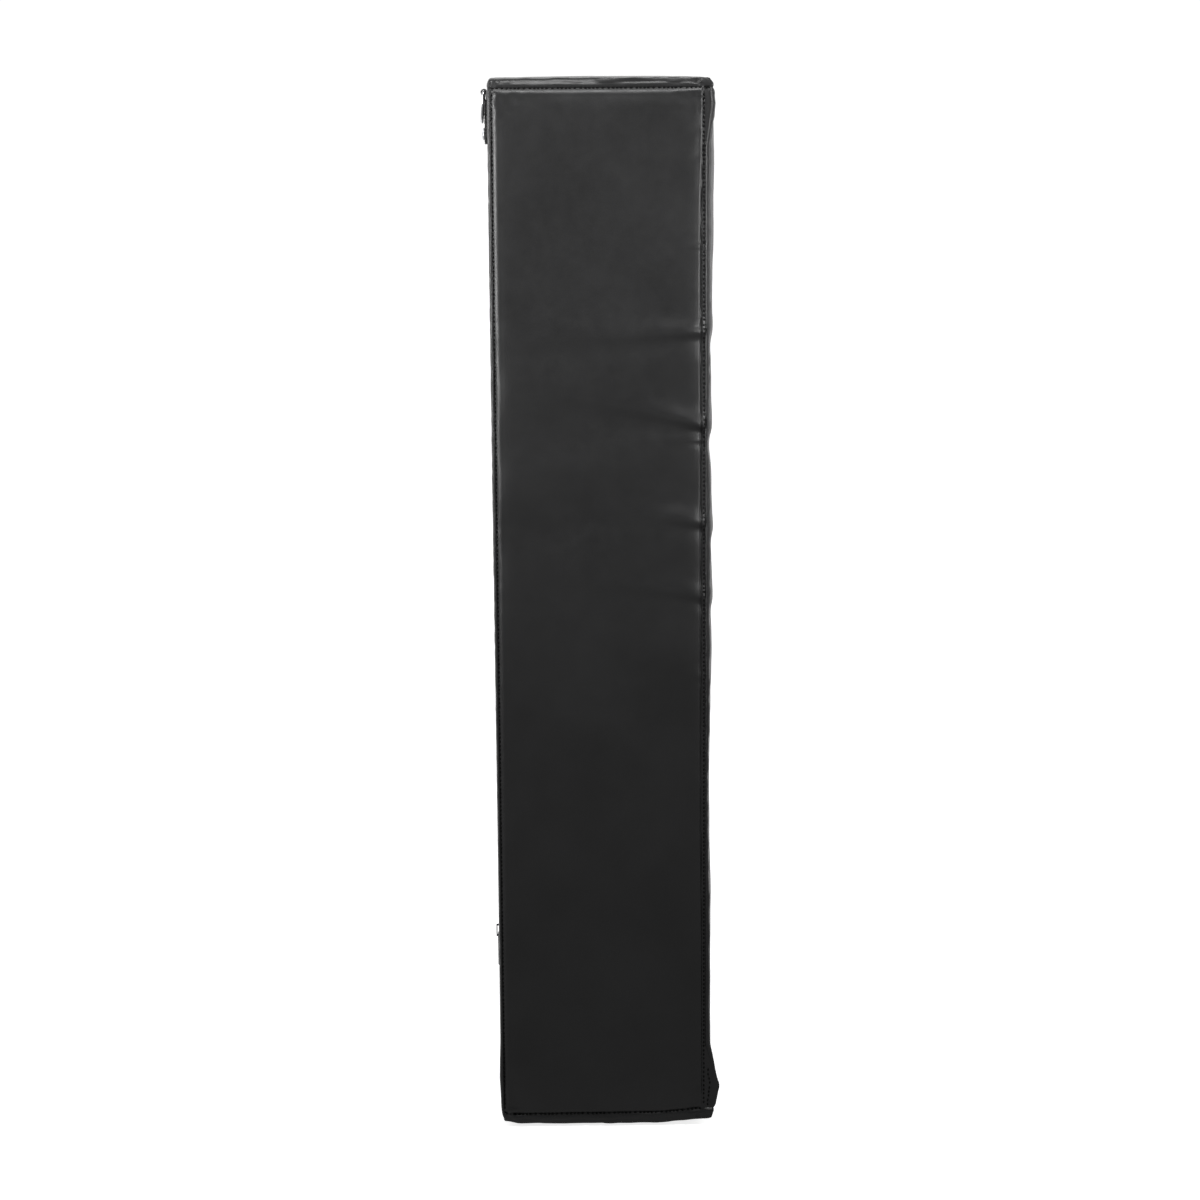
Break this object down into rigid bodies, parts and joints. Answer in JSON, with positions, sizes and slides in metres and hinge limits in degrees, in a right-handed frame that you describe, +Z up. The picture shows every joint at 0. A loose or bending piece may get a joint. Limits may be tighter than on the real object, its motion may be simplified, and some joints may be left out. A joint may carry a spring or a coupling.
{
  "type": "wall punch pad",
  "caption": "Tall rectangular padded striking block in a sewn vinyl cover, with a board back, a rear zip and hanging rings for a wall.",
  "frame": {"origin": "centre of the flat middle panel on the pad's back, where it rests on the wall", "axes": "+Z up along the pad's height, +Y out of the back towards the wall, so the striking face looks along -Y"},
  "size_m": [0.5, 0.2158, 1],
  "materials": {
    "smooth_vinyl": "satin",
    "grained_vinyl": "satin",
    "webbing": "matte",
    "zip_tape": "matte",
    "zip_plastic": "satin",
    "black_metal": "satin",
    "ring_steel": "polished",
    "zinc_steel": "satin",
    "plywood": "matte",
    "firm_foam": "matte",
    "core_foam": "matte",
    "impact_foam": "matte"
  },
  "bodies": {
    "pad": {"backboard": "plywood", "firm_foam_layer": "firm_foam", "core_foam_block": "core_foam", "impact_foam_layer": "impact_foam", "front_panel": "grained_vinyl", "side_panel_left": "smooth_vinyl", "side_panel_right": "smooth_vinyl", "top_panel": "smooth_vinyl", "bottom_panel": "smooth_vinyl", "back_middle_panel": "grained_vinyl", "back_strip_left": "smooth_vinyl", "back_strip_right": "smooth_vinyl", "zip_tape_left": "zip_tape", "zip_tape_right": "zip_tape", "zip_chain": "zip_plastic", "zip_stop_top": "black_metal", "zip_stop_bottom": "black_metal", "tab_top_left": "webbing", "tab_top_right": "webbing", "screw_top_left": "zinc_steel", "screw_top_right": "zinc_steel", "tnut_top_left": "zinc_steel", "tnut_top_right": "zinc_steel"},
    "top_left_ring": {"ring_top_left": "ring_steel"},
    "top_right_ring": {"ring_top_right": "ring_steel"},
    "slider": {"zip_slider": "black_metal"},
    "pull": {"zip_pull": "black_metal"}
  },
  "joints": [
    {"name": "top_left_ring_swing", "type": "hinge", "parent": "pad", "child": "top_left_ring", "pos_m": [-0.186, 0.00325, 0.488], "axis": [1, 0, 0], "range_deg": [0, 170]},
    {"name": "top_right_ring_swing", "type": "hinge", "parent": "pad", "child": "top_right_ring", "pos_m": [0.186, 0.00325, 0.488], "axis": [1, 0, 0], "range_deg": [0, 170]},
    {"name": "zip_slide", "type": "slide", "parent": "pad", "child": "slider", "axis": [0, 0, 1], "range_m": [0, 0.85]},
    {"name": "zip_pull_swing", "type": "hinge", "parent": "slider", "child": "pull", "pos_m": [0.134, 0.0053, -0.4309], "axis": [1, 0, 0], "range_deg": [0, 170]}
  ]
}
